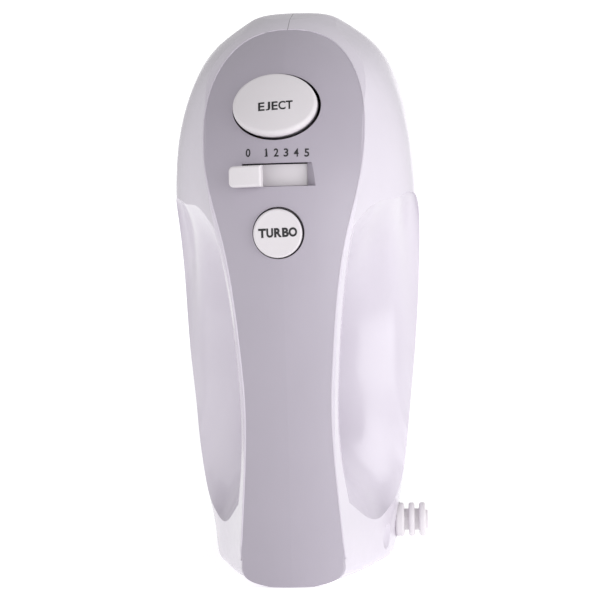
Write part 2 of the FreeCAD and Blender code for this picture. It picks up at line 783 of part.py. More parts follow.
WORM_SHAPE = worm()
WHEEL_SHAPE = wheel()
node("worm", surface_feature(WORM_SHAPE))

for name, side in (("right", 1), ("left", -1)):
    node(f"gear_{name}", surface_feature(place_wheel(WHEEL_SHAPE, side)))
    foot = P(side * WHEEL_X, size("spindle_bottom"), WHEEL_Z)
    node(f"spindle_{name}", tube("spindle_radius", "beater_shaft_radius + fit_gap",
                                 "spindle_top - spindle_bottom", foot, UP))
    rings = [tube(7.4, "spindle_radius", 1.4, P(side * WHEEL_X, up, WHEEL_Z), UP) for up in (27.5, 37.1)]
    node(f"spindle_clips_{name}", fused(*rings))

# ---------------------------------------------------------------- gearbox frame

FRAME_CORNERS = [(-34.5, 134), (34.5, 134), (34.5, 152), (26, 178), (-26, 178), (-34.5, 152)]
BRACKET_CORNERS = [(-35.5, 135), (35.5, 135), (35.5, 152), (29, 180), (-29, 180), (-35.5, 152)]
PILLARS = [(-31.5, 139.0), (31.5, 139.0), (-24.5, 177.0), (24.5, 177.0)]
BUSHING_R = 8.0


def plate(corners, low, high):
    points = [P(x, low, z) for x, z in corners]
    return Part.Face(Part.makePolygon(points + points[:1])).extrude(UP * (high - low))


def gearbox_frame():
    body = plate(FRAME_CORNERS, 9.5, 13.5)
    post = block((-7, 7), (13.5, 42), (176, 180))
    body = body.fuse([post] + [round_bar(2.8, P(x, 13.5, z), P(x, 46, z)) for x, z in PILLARS])
    holes = [round_bar(BUSHING_R, P(x, 9, WHEEL_Z), P(x, 14, WHEEL_Z)) for x in (-WHEEL_X, WHEEL_X)]
    holes.append(round_bar(5.0, motor_point(175), motor_point(181)))
    holes += [round_bar(1.2, P(x, 38, z), P(x, 46, z)) for x, z in PILLARS]
    return body.cut(holes)


def gearbox_bracket():
    body = plate(BRACKET_CORNERS, 46, 49)
    holes = [round_bar(BUSHING_R, P(x, 45, WHEEL_Z), P(x, 50, WHEEL_Z)) for x in (-WHEEL_X, WHEEL_X)]
    holes += [round_bar(1.2, P(x, 45, z), P(x, 50, z)) for x, z in PILLARS]
    return body.cut(holes)


node("gearbox_frame", surface_feature(gearbox_frame()))
node("gearbox_bracket", surface_feature(gearbox_bracket()))
node("nose_bearing", tube(5, "shaft_radius + fit_gap", 4, motor_point(176), NOSEWARD))
node("gearbox_screws", surface_feature(
    screws([P(x, 49, z) for x, z in PILLARS], 0, 9, 1.8, 1.2, 2.4, DOWN)))
bushings = []
for x in (-WHEEL_X, WHEEL_X):
    for up, height in ((9.5, 4), (46, 3)):
        bushings.append(tube(BUSHING_R, "spindle_radius + fit_gap", height, P(x, up, WHEEL_Z), UP))
node("spindle_bushings", fused(*bushings))
ports = []
for x in (-WHEEL_X, WHEEL_X):
    rim = cylinder(11, 1.2, P(x, -1.2, WHEEL_Z), UP)
    collar = fused(cylinder(PORT_RADIUS, 3.4, P(x, 0, WHEEL_Z), UP), rim)
    ports.append(cut(collar, cylinder(6.8, 6, P(x, -1.2, WHEEL_Z), UP)))
node("beater_ports", fused(*ports))

# ---------------------------------------------------------------- eject mechanism

EX, EZ = EJECT
YOKE_LOW, YOKE_HIGH = 57.0, 61.0
STEM_RADIUS = 3.6
GUIDE_TOP = 86.0


def eject_cap():
    """Oval key: its face follows the sloping crown, 3 mm proud, with a rounded edge."""
    block_up = ellipse_prism(EJECT, size("eject_half_width"), size("eject_half_length"), 104, 150)
    raised = -size("eject_raise")
    solids = block_up.generalFuse([crown_face(raised), crown_face(COVER + WALL + 1.0)])[0].Solids
    solids = sorted(solids, key=lambda s: s.CenterOfMass.y)
    body = solids[1]
    top_edges = [e for e in body.Edges if e.CenterOfMass.y < body.CenterOfMass.y - 1.5]
    try:
        body = body.makeFillet(1.6, top_edges)
    except Part.OCCError:
        body = body.makeChamfer(1.0, top_edges)
    return body


EJECT_CAP = eject_cap()
node("eject_button", surface_feature(EJECT_CAP))


def ejector_yoke():
    """Stem under the key, a cross bar, and a peg over each beater's shaft."""
    reach = WHEEL_X + 3.0
    stem = round_bar(STEM_RADIUS, P(0, YOKE_HIGH, EZ), P(0, 118, EZ))
    flange = round_bar(8.0, P(0, 101, EZ), P(0, 103.5, EZ))
    bar = block((-reach, reach), (YOKE_LOW, YOKE_HIGH), (EZ - 3.5, EZ + 3.5))
    pegs = [round_bar(2.6, P(x, 49.3, WHEEL_Z), P(x, YOKE_LOW, WHEEL_Z)) for x in (-WHEEL_X, WHEEL_X)]
    return stem.fuse([flange, bar] + pegs).cut(EJECT_CAP)


node("ejector_yoke", surface_feature(ejector_yoke()))


def eject_guide():
    """Sleeve for the stem, on two legs that stand on the gearbox bracket."""
    table = block((-8, 8), (70, 73), (EZ - 13, EZ + 12.5))
    legs = [block((-5, 5), (49, 70), (EZ - 13, EZ - 10)), block((-5, 5), (49, 70), (EZ + 9.5, EZ + 12.5))]
    sleeve = round_bar(6.0, P(0, 73, EZ), P(0, GUIDE_TOP, EZ))
    return table.fuse(legs + [sleeve]).cut(round_bar(STEM_RADIUS + 0.08, P(0, 60, EZ), P(0, 100, EZ)))


node("eject_guide", surface_feature(eject_guide()))


def coil(radius, wire_radius, low, high, turns, middle):
    """A compression spring with its axis upright."""
    rise = high - low - 2 * wire_radius
    path = Part.makeHelix(rise / turns, rise, radius)
    section = Part.Wire(Part.makeCircle(wire_radius, V(radius, 0, 0), V(0, 1, 0)))
    spring = Part.Wire(path.Edges).makePipeShell([section], True, True)
    foot = P(middle[0], low + wire_radius, middle[1])
    spring.Placement = FreeCAD.Placement(foot, FreeCAD.Rotation(V(1, 0, 0), 90))
    return spring


node("eject_spring", surface_feature(coil(5.2, 0.5, GUIDE_TOP + 0.05, 100.95, 6, (0, EZ))))

# ---------------------------------------------------------------- turbo key and switch

TX, TZ = TURBO
SWITCH_TOP = 112.0


def crown_up(z):
    """Centre-line height of the crown at z."""
    for (z0, up0, _), (z1, up1, _) in zip(CROWN, CROWN[1:]):
        if z0 <= z <= z1:
            return up0 + (up1 - up0) * (z - z0) / (z1 - z0)
    return CROWN[-1][1]


TURBO_FACE = crown_up(TZ) + size("turbo_raise")
FLANGE_TOP = crown_up(TZ) - COVER - WALL - 2.4


def turbo_button():
    """Round key with a retaining flange and a plunger."""
    cap = round_bar(size("turbo_radius"), P(TX, FLANGE_TOP - 1.6, TZ), P(TX, TURBO_FACE, TZ))
    rim_edges = [e for e in cap.Edges if abs(e.CenterOfMass.y - P(0, TURBO_FACE, 0).y) < 0.01]
    cap = cap.makeFillet(0.7, rim_edges)
    flange = round_bar(9.3, P(TX, FLANGE_TOP - 1.6, TZ), P(TX, FLANGE_TOP, TZ))
    plunger = round_bar(1.5, P(TX, SWITCH_TOP + 0.4, TZ), P(TX, FLANGE_TOP - 1.6, TZ))
    return cap.fuse([flange, plunger])


node("turbo_button", surface_feature(turbo_button()))
switch_body = box(11, 9, 12, P(TX - 5.5, SWITCH_TOP, TZ - 6))
node("turbo_switch", cut(switch_body, cylinder(1.8, 3.2, P(TX, SWITCH_TOP - 3.2, TZ), UP)))


def turbo_dome():
    """Rubber return dome between the switch and the key's flange, hollow round the plunger."""
    foot, height = P(TX, SWITCH_TOP + 0.05, TZ), FLANGE_TOP - 1.65 - SWITCH_TOP - 0.05
    return Part.makeCone(5.2, 3.6, height, foot, UP).cut(Part.makeCone(4.2, 2.6, height, foot, UP))


node("turbo_dome", surface_feature(turbo_dome()))

# ---------------------------------------------------------------- speed lever

DRUM_UP, DRUM_R = size("drum_up"), size("drum_radius")
DRUM_HALF = size("drum_length") / 2
KNOB_ANGLE = size("knob_rest")


def around_drum(angle, radius, z):
    """A point at an angle from upright, positive towards +X, about the lever's pivot."""
    turn = math.radians(angle)
    return P(radius * math.sin(turn), DRUM_UP + radius * math.cos(turn), z)


def drum_sector(inner, outer, low, high, from_angle, to_angle):
    ring = Part.makeCylinder(outer, high - low, P(0, DRUM_UP, low), NOSEWARD)
    ring = ring.cut(Part.makeCylinder(inner, high - low, P(0, DRUM_UP, low), NOSEWARD))
    far = outer * 1.6
    pie = [P(0, DRUM_UP, low)]
    steps = 4
    for i in range(steps + 1):
        pie.append(around_drum(from_angle + (to_angle - from_angle) * i / steps, far, low))
    wedge = Part.Face(Part.makePolygon(pie + pie[:1])).extrude(NOSEWARD * (high - low))
    return ring.common(wedge)


def speed_drum():
    """Curved band that closes the slot, on a spoke and hub."""
    low, high = SLOT[1] - DRUM_HALF, SLOT[1] + DRUM_HALF
    band = drum_sector(DRUM_R - 2.2, DRUM_R, low, high, KNOB_ANGLE - 23.5, KNOB_ANGLE + 26)
    hub = round_bar(5.0, P(0, DRUM_UP, low), P(0, DRUM_UP, high))
    spoke = drum_sector(3.0, DRUM_R - 1.0, low + 1.5, high - 1.5, KNOB_ANGLE - 6, KNOB_ANGLE + 6)
    return band.fuse([hub, spoke]).cut(round_bar(2.5 + FIT, P(0, DRUM_UP, low - 1), P(0, DRUM_UP, high + 1)))


node("speed_drum", surface_feature(speed_drum()))
# The crown is nearly concentric with the lever's pivot here, at about 42.6, so the cap slides just over it.
CAP_UNDER, CAP_TOP = 43.3, 46.4


def speed_knob():
    """Thumb piece: a neck through the slot, and a wider cap with rounded ends over it."""
    low, high = SLOT[1] - 4.0, SLOT[1] + 2.9
    neck = drum_sector(DRUM_R, CAP_UNDER, low + 0.6, high - 0.2, KNOB_ANGLE - 4.2, KNOB_ANGLE + 0.6)
    cap = drum_sector(CAP_UNDER, CAP_TOP, low, high, KNOB_ANGLE - 8.3, KNOB_ANGLE + 5.7)
    upright = [edge for edge in cap.Edges if abs(edge.Length - (CAP_TOP - CAP_UNDER)) < 0.05]
    outer_corners = [edge for edge in upright if edge.CenterOfMass.x < around_drum(KNOB_ANGLE, CAP_TOP, 0).x]
    cap = cap.makeFillet(1.7, outer_corners)
    top = [face for face in cap.Faces if abs(getattr(face.Surface, "Radius", 0) - CAP_TOP) < 0.01]
    return cap.makeFillet(0.8, top[0].Edges).fuse(neck)


node("speed_knob", surface_feature(speed_knob()))


def speed_switch():
    """Rotary switch body behind the drum, with the pin the drum turns on."""
    back = SLOT[1] + DRUM_HALF + 0.5
    body = block((-13, 13), (DRUM_UP - 10, DRUM_UP + 10), (back, back + 6.5))
    pin = round_bar(2.5, P(0, DRUM_UP, SLOT[1] - DRUM_HALF - 3), P(0, DRUM_UP, SLOT[1] + DRUM_HALF + 0.5))
    return body.fuse(pin)


node("speed_switch", surface_feature(speed_switch()))
contacts = []
for x in (-9, -3, 3, 9):
    contacts.append(box(2.0, 5.0, 0.8, P(x - 1.0, DRUM_UP + 15, SLOT[1] + DRUM_HALF + 4)))
node("switch_contacts", fused(*contacts))

# ---------------------------------------------------------------- electronics in the grip

BOARD_UP, BOARD_THICK = 106.0, 1.6
BOARD_Z = (46.0, 104.0)
board_corner = P(-9, BOARD_UP + BOARD_THICK, BOARD_Z[0])
node("circuit_board", box(18, BOARD_THICK, BOARD_Z[1] - BOARD_Z[0], board_corner))
PART_FOOT = BOARD_UP + BOARD_THICK
node("capacitor", cylinder(4.0, 16, P(3.5, PART_FOOT + 4.0, 52), NOSEWARD))
node("inductor", tube(4.6, 2.2, 5, P(-3.4, PART_FOOT, 80), UP))
triac_tab = box(9, 1.0, 4, P(-4.5, PART_FOOT + 1.0, 98))
node("triac", fused(box(9, 2.2, 8, P(-4.5, PART_FOOT + 2.2, 90)), triac_tab))


def wire_run(points, radius):
    """Straight runs with a ball at each bend, all one solid."""
    parts = [round_bar(radius, a, b) for a, b in zip(points, points[1:])]
    for middle in points[1:-1]:
        parts.append(Part.makeSphere(radius, middle))
    return parts[0].fuse(parts[1:])


leads = []
for x in (12.0, -12.0):
    inward = x / abs(x)
    route = [P(x, CORD_UP, CORD_Z + 3), P(x, 62, 22), P(x * 0.7, 84, 25)]
    route += [P(x * 0.5, 101, 36), P(x * 0.5, 103.0, 50)]
    leads.append(wire_run(route, 0.9))
node("wiring", surface_feature(Part.makeCompound(leads)))

# ---------------------------------------------------------------- beaters

TIP = size("beater_tip")
REACH = size("beater_reach")
BEATER_R = size("beater_shaft_radius")
BLADE_W, BLADE_T = size("blade_width"), size("blade_thickness")
BLADE_TOP = 40.0
HUB_TOP, HUB_LOW = 34.0, 46.0


def blade_line():
    """One blade's middle line in its own plane: (distance out, depth under the base)."""
    line = [(BEATER_R - 0.6, BLADE_TOP), (8.5, BLADE_TOP + 8), (REACH * 0.93, BLADE_TOP + 31)]
    line += [(REACH, BLADE_TOP + 50), (REACH * 0.90, TIP - 18)]
    line += [(REACH * 0.5, TIP - 5.5), (BEATER_R - 0.6, TIP - 2.8)]
    return [V(out, 0, -down) for out, down in line]


def beater_blade(turn):
    """A flat strip bent from the hub out round the bowl side and back to the tip."""
    curve = Part.BSplineCurve()
    curve.interpolate(Points=blade_line())
    samples = curve.discretize(Number=25)
    outer, inner = [], []
    for i, point in enumerate(samples):
        ahead, behind = samples[min(i + 1, len(samples) - 1)], samples[max(i - 1, 0)]
        along = (ahead - behind).normalize()
        side = V(-along.z, 0, along.x)
        if side.x < 0:
            side = side * -1
        outer.append(point + side * (BLADE_T / 2))
        inner.append(point - side * (BLADE_T / 2))
    face = Part.Face(Part.Wire([
        spline_edge(outer), Part.makeLine(outer[-1], inner[-1]),
        spline_edge(inner), Part.makeLine(inner[0], outer[0])]))
    face.translate(V(0, -BLADE_W / 2, 0))
    strip = face.extrude(V(0, BLADE_W, 0))
    strip.rotate(V(0, 0, 0), V(0, 0, 1), turn)
    return strip


def to_beater(shape, x):
    """From upright about the origin to hanging under the body beside the worm."""
    shape.rotate(V(0, 0, 0), V(1, 0, 0), 90)
    shape.translate(P(x, 0, WHEEL_Z))
    return shape


def beater(name, x, phase):
    rod = Part.makeCylinder(BEATER_R, TIP + size("beater_top"), V(0, 0, -TIP))
    rod = rod.makeFillet(1.4, [e for e in rod.Edges if abs(e.CenterOfMass.z + TIP) < 0.01])
    flats = []
    for turn in (0, 120, 240):
        wing = Part.makeBox(5.0, 1.4, 9.0, V(0, -0.7, -20.0))
        wing.rotate(V(0, 0, 0), V(0, 0, 1), turn + phase)
        flats.append(wing)
    collar = Part.makeCylinder(5.6, 3.0, V(0, 0, -7.0))
    head = collar.fuse(flats).cut(rod)
    hub = Part.makeCylinder(4.6, HUB_LOW - HUB_TOP, V(0, 0, -HUB_LOW)).cut(rod)
    blades = [beater_blade(phase + 90 * i) for i in range(4)]
    cage = blades[0].fuse(blades[1:])
    cage = cage.cut(Part.makeCylinder(4.6, HUB_LOW - HUB_TOP, V(0, 0, -HUB_LOW))).cut(rod)
    cage = Part.makeCompound(cage.Solids)
    node(f"beater_shaft_{name}", surface_feature(to_beater(rod, x)))
    node(f"beater_collar_{name}", surface_feature(to_beater(head, x)))
    node(f"beater_hub_{name}", surface_feature(to_beater(hub, x)))
    node(f"beater_blades_{name}", surface_feature(to_beater(cage, x)))


beater("left", -WHEEL_X, 0)
beater("right", WHEEL_X, 45)

# ---------------------------------------------------------------- checks and export

doc.recompute()
for obj in doc.Objects:
    if {"Invalid", "Error"} & set(obj.State):
        raise RuntimeError(f"{obj.Label} did not compute")
for obj in nodes:
    if obj.Shape.isNull() or not obj.Shape.isValid():
        raise RuntimeError(f"{obj.Label} has no valid shape")

os.makedirs("parts", exist_ok=True)
for obj in nodes:
    obj.Shape.exportStep(f"parts/{obj.Label}.step")
print(f"{len(nodes)} nodes")
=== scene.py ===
import json
import math

import bmesh
import bpy
from mathutils import Matrix, Vector
from mathutils.bvhtree import BVHTree


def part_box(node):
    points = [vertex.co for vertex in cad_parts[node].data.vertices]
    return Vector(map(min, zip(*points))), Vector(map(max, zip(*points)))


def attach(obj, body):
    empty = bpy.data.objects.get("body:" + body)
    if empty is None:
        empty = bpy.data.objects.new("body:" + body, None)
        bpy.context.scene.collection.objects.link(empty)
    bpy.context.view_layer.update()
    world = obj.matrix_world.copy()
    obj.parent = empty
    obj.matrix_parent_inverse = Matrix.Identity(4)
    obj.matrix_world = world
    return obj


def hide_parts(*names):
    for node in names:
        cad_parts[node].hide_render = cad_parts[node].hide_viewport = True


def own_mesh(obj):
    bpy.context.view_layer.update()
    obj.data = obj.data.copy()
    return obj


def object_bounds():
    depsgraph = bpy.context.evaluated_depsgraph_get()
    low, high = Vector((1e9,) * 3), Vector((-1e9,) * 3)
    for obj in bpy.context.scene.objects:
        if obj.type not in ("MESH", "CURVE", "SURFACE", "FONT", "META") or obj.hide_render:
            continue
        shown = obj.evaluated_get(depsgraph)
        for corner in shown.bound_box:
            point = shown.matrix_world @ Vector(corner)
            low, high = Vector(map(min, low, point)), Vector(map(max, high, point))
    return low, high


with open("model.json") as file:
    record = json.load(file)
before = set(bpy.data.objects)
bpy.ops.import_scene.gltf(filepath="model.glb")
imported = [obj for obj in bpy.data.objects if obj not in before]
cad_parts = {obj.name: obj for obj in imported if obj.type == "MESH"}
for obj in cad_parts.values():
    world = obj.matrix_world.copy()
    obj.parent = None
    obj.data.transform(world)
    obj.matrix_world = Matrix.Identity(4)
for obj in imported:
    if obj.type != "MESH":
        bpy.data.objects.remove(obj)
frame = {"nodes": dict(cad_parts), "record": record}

MM = 0.001
CAD_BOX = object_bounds()
NODES = frame["nodes"]
IN_FRONT = -0.2
BACKWARD = Vector((0, 1, 0))

# ---------------------------------------------------------------- materials


class Shader:
    """A Principled material and short names for the nodes that give it detail."""

    def __init__(self, name, colour, roughness, metallic=0.0, **sockets):
        self.material = bpy.data.materials.new(name)
        self.material.use_nodes = True
        self.tree = self.material.node_tree
        self.bsdf = self.tree.nodes["Principled BSDF"]
        self.bsdf.inputs["Base Color"].default_value = (*colour, 1.0)
        self.bsdf.inputs["Roughness"].default_value = roughness
        self.bsdf.inputs["Metallic"].default_value = metallic
        for socket, value in sockets.items():
            self.bsdf.inputs[socket.replace("_", " ")].default_value = value
        self.colour = colour
        self.roughness = roughness
        self.place = self.tree.nodes.new("ShaderNodeTexCoord").outputs["Object"]
        self.bump = None

    def node(self, kind, **settings):
        made = self.tree.nodes.new(kind)
        for field, value in settings.items():
            setattr(made, field, value)
        return made

    def link(self, start, end):
        self.tree.links.new(start, end)

    def noise(self, size_mm, detail=2.0, stretch=None):
        """Noise whose features are about size_mm across."""
        noise = self.node("ShaderNodeTexNoise")
        noise.inputs["Scale"].default_value = 1.0 / (size_mm * MM)
        noise.inputs["Detail"].default_value = detail
        place = self.place
        if stretch:
            mapping = self.node("ShaderNodeMapping")
            mapping.inputs["Scale"].default_value = stretch
            self.link(place, mapping.inputs["Vector"])
            place = mapping.outputs["Vector"]
        self.link(place, noise.inputs["Vector"])
        return noise.outputs["Fac"]

    def remap(self, value, low, high, from_low=0.3, from_high=0.7):
        ranged = self.node("ShaderNodeMapRange")
        ranged.inputs["From Min"].default_value = from_low
        ranged.inputs["From Max"].default_value = from_high
        ranged.inputs["To Min"].default_value = low
        ranged.inputs["To Max"].default_value = high
        self.link(value, ranged.inputs["Value"])
        return ranged.outputs["Result"]

    def tint(self, mask, colour):
        """Blends the base colour towards another where the mask is high."""
        mix = self.node("ShaderNodeMix", data_type="RGBA")
        source = self.bsdf.inputs["Base Color"]
        if source.is_linked:
            self.link(source.links[0].from_socket, mix.inputs[6])
        else:
            mix.inputs[6].default_value = source.default_value[:]
        mix.inputs[7].default_value = (*colour, 1.0)
        self.link(mask, mix.inputs[0])
        self.link(mix.outputs[2], source)

    def mottle(self, size_mm, amount):
        """Slow, faint changes of shade, as moulded or plated parts have."""
        darker = [channel * (1 - amount) for channel in self.colour]
        self.tint(self.remap(self.noise(size_mm), 0.0, 1.0), darker)

    def vary_roughness(self, size_mm, spread):
        low, high = self.roughness - spread, self.roughness + spread
        self.link(self.remap(self.noise(size_mm, 4.0), low, high), self.bsdf.inputs["Roughness"])

    def relief(self, height, depth_mm):
        """Fine height changes, added to any that are there already."""
        bump = self.node("ShaderNodeBump")
        bump.inputs["Distance"].default_value = depth_mm * MM
        bump.inputs["Strength"].default_value = 1.0
        self.link(height, bump.inputs["Height"])
        if self.bump:
            self.link(self.bump, bump.inputs["Normal"])
        self.bump = bump.outputs["Normal"]
        self.link(self.bump, self.bsdf.inputs["Normal"])

    def seam(self, half_width_mm, colour):
        """A fine parting line where the two mouldings meet, on the middle plane."""
        split = self.node("ShaderNodeSeparateXYZ")
        self.link(self.place, split.inputs["Vector"])
        size = self.node("ShaderNodeMath", operation="ABSOLUTE")
        self.link(split.outputs["X"], size.inputs[0])
        mask = self.remap(size.outputs[0], 1.0, 0.0, half_width_mm * MM * 0.5, half_width_mm * MM)
        self.tint(mask, colour)


def gloss_plastic(name, colour, roughness=0.2, seam=False):
    shader = Shader(name, colour, roughness, Coat_Weight=0.2, Coat_Roughness=0.06)
    shader.mottle(28.0, 0.018)
    shader.vary_roughness(6.0, 0.03)
    shader.relief(shader.noise(1.6, 3.0), 0.006)
    if seam:
        shader.seam(0.16, [channel * 0.35 for channel in colour])
    return shader.material


def matte_plastic(name, colour, roughness=0.42, grain_mm=0.28, depth_mm=0.018):
    shader = Shader(name, colour, roughness)
    shader.mottle(22.0, 0.03)
    shader.vary_roughness(3.0, 0.04)
    shader.relief(shader.noise(grain_mm, 3.0), depth_mm)
    return shader.material


def plated(name, colour, roughness=0.12, grain_mm=0.5):
    shader = Shader(name, colour, roughness, metallic=1.0)
    shader.mottle(9.0, 0.06)
    shader.vary_roughness(2.0, 0.04)
    shader.relief(shader.noise(grain_mm, 3.0, stretch=(1.0, 0.12, 1.0)), 0.004)
    return shader.material


def wound_wire(name, colour):
    """Lacquered copper turns lying side by side."""
    shader = Shader(name, colour, 0.28, metallic=0.85, Coat_Weight=0.5)
    waves = shader.node("ShaderNodeTexWave", wave_type="BANDS", bands_direction="DIAGONAL")
    waves.inputs["Scale"].default_value = 1.0 / (0.9 * MM)
    waves.inputs["Distortion"].default_value = 2.5
    shader.link(shader.place, waves.inputs["Vector"])
    shader.relief(waves.outputs["Fac"], 0.12)
    # Painted shade: the copper colour is darkened in the grooves between the turns, where the relief is
    # lowest.
    shader.tint(shader.remap(waves.outputs["Fac"], 1.0, 0.0, 0.0, 0.5), [c * 0.45 for c in colour])
    return shader.material


def laminated(name, colour):
    """A stack of thin steel sheets across the motor's axis."""
    shader = Shader(name, colour, 0.38, metallic=1.0)
    sheets = shader.node("ShaderNodeTexWave", wave_type="BANDS", bands_direction="Z")
    sheets.inputs["Scale"].default_value = 1.0 / (2.4 * MM)
    shader.link(shader.place, sheets.inputs["Vector"])
    shader.relief(sheets.outputs["Fac"], 0.05)
    shader.mottle(5.0, 0.25)
    return shader.material


def ink(name, colour):
    shader = Shader(name, colour, 0.45)
    shader.vary_roughness(0.6, 0.08)
    shader.tint(shader.remap(shader.noise(0.35, 3.0), 0.0, 0.25), [c * 1.4 + 0.004 for c in colour])
    return shader.material


WHITE = (0.635, 0.592, 0.668)
MATERIALS = {
    "white_shell": gloss_plastic("white_shell", WHITE, 0.22, seam=True),
    "grey_cover": matte_plastic("grey_cover", (0.415, 0.380, 0.444)),
    "white_keys": matte_plastic("white_keys", (0.70, 0.665, 0.695), 0.34, 0.22, 0.008),
    "white_relief": matte_plastic("white_relief", (0.78, 0.745, 0.775), 0.38, 0.4, 0.01),
    "nylon": matte_plastic("nylon", (0.80, 0.77, 0.68), 0.4, 0.6, 0.01),
    "zinc_screw": plated("zinc_screw", (0.66, 0.66, 0.68), 0.25),
    "steel_part": plated("steel_part", (0.60, 0.61, 0.63), 0.3),
    "lamination": laminated("lamination", (0.32, 0.33, 0.36)),
    "copper_wire": wound_wire("copper_wire", (0.72, 0.30, 0.12)),
    "brass_part": plated("brass_part", (0.78, 0.58, 0.26), 0.25),
    "carbon": matte_plastic("carbon", (0.03, 0.03, 0.032), 0.5, 0.15, 0.02),
    "fan_plastic": matte_plastic("fan_plastic", (0.04, 0.04, 0.045), 0.45),
    "gear_plastic": matte_plastic("gear_plastic", (0.83, 0.80, 0.72), 0.36, 0.8, 0.008),
    "chrome_wire": plated("chrome_wire", (0.83, 0.83, 0.85), 0.07, 0.9),
    "board": matte_plastic("board", (0.03, 0.16, 0.06), 0.3, 0.5, 0.02),
    "dark_plastic": matte_plastic("dark_plastic", (0.04, 0.04, 0.045), 0.4),
    "lead_skin": matte_plastic("lead_skin", (0.05, 0.05, 0.22), 0.35, 0.5, 0.01),
    "dome_rubber": matte_plastic("dome_rubber", (0.22, 0.22, 0.23), 0.6, 0.3, 0.02),
}
INK = ink("printed_ink", (0.012, 0.012, 0.014))

SLOTS = {part["node"]: part["material_slot"] for part in frame["record"]["subparts"]}
for node, slot in SLOTS.items():
    NODES[node].data.materials.clear()
    NODES[node].data.materials.append(MATERIALS[slot])

# ---------------------------------------------------------------- lettering


TYPE_STEPS = 6
INK_EDGE = 0.6 * MM
INK_CUTS = 4
INK_PROUD = 0.03 * MM
INK_THICKNESS = 0.05 * MM


def add_mesh(name, work):
    """Makes a scene object from a bmesh, and frees it."""
    mesh = bpy.data.meshes.new(name)
    work.to_mesh(mesh)
    work.free()
    obj = bpy.data.objects.new(name, mesh)
    bpy.context.scene.collection.objects.link(obj)
    return obj


def tree_of(*names):
    """A ray-casting tree over some CAD nodes."""
    joined = bmesh.new()
    for name in names:
        joined.from_mesh(NODES[name].data)
    tree = BVHTree.FromBMesh(joined)
    joined.free()
    return tree


def type_shape(text, weight):
    """Flat built-in type as a bmesh."""
    curve = bpy.data.curves.new("type", "FONT")
    curve.body = text
    curve.offset = weight
    curve.resolution_u = TYPE_STEPS
    source = bpy.data.objects.new("type", curve)
    flat = bpy.data.meshes.new_from_object(source)
    work = bmesh.new()
    work.from_mesh(flat)
    bpy.data.objects.remove(source)
    bpy.data.meshes.remove(flat)
    return work


def drawn_shape(points):
    """A flat polygon as a bmesh."""
    work = bmesh.new()
    work.faces.new([work.verts.new((x, y, 0)) for x, y in points])
    return work


def printed(name, text, centre, size, target, body, weight=0.0, turn=0.0, outline=None):
    """Ink on a surface that faces -Y: a flat shape, cut finely and laid onto the surface."""
    work = drawn_shape(outline) if outline else type_shape(text, weight)
    bmesh.ops.triangulate(work, faces=work.faces)
    xs = [v.co.x for v in work.verts]
    ys = [v.co.y for v in work.verts]
    middle = Vector(((min(xs) + max(xs)) / 2, (min(ys) + max(ys)) / 2, 0))
    wide, tall = max(xs) - min(xs), max(ys) - min(ys)
    spin = Matrix.Rotation(math.radians(turn), 3, "Z")
    for vert in work.verts:
        place = vert.co - middle
        place = spin @ Vector((place.x * size[0] / wide, place.y * size[1] / tall, 0))
        vert.co = Vector((centre[0] + place.x, 0, centre[1] + place.y)) * MM
    for _ in range(INK_CUTS):
        edges = [edge for edge in work.edges if edge.calc_length() > INK_EDGE]
        if not edges:
            break
        bmesh.ops.subdivide_edges(work, edges=edges, cuts=1)
        bmesh.ops.triangulate(work, faces=work.faces)
    tree = tree_of(target)
    for vert in work.verts:
        hit = tree.ray_cast(Vector((vert.co.x, IN_FRONT, vert.co.z)), BACKWARD)[0]
        vert.co.y = hit.y - INK_PROUD
    obj = add_mesh(name, work)
    obj.data.materials.append(INK)
    skin = obj.modifiers.new("thickness", "SOLIDIFY")
    skin.thickness = INK_THICKNESS
    skin.offset = 0.0
    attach(obj, body)


def middle_of(node):
    """The middle of a node's box, in millimetres."""
    low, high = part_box(node)
    return [(a + b) / 2 / MM for a, b in zip(low, high)]


def word(name, letters, centre, height, target, body, weight, turn):
    """A word set letter by letter; each letter has its place along the line and its width."""
    for i, (letter, along, width) in enumerate(letters):
        rise = along * math.tan(math.radians(turn))
        place = (centre[0] + along, centre[1] + rise)
        printed(f"{name}_{i}_{letter}", letter, place, (width, height), target, body, weight, turn)


# Each letter, its place along the word and its width, in millimetres.
EJECT_LETTERS = [("E", -4.6, 2.1), ("J", -2.4, 1.5), ("E", -0.2, 2.0), ("C", 2.2, 2.35), ("T", 4.6, 2.2)]
TURBO_LETTERS = [("T", -5.0, 2.5), ("U", -2.55, 2.2), ("R", 0.05, 2.45), ("B", 2.5, 2.15)]
TURBO_LETTERS += [("O", 4.9, 2.75)]
EJECT_HEIGHT, EJECT_WEIGHT, EJECT_TURN = 2.95, 0.022, 2.2
TURBO_HEIGHT, TURBO_WEIGHT, TURBO_TURN = 3.0, 0.045, 1.2

eject, turbo = middle_of("eject_button"), middle_of("turbo_button")
eject_at, turbo_at = (eject[0] + 0.5, eject[2] - 0.5), (turbo[0] + 0.1, turbo[2] + 0.2)
word("eject", EJECT_LETTERS, eject_at, EJECT_HEIGHT, "eject_button", "eject_key", EJECT_WEIGHT, EJECT_TURN)
word("turbo", TURBO_LETTERS, turbo_at, TURBO_HEIGHT, "turbo_button", "turbo_key", TURBO_WEIGHT, TURBO_TURN)

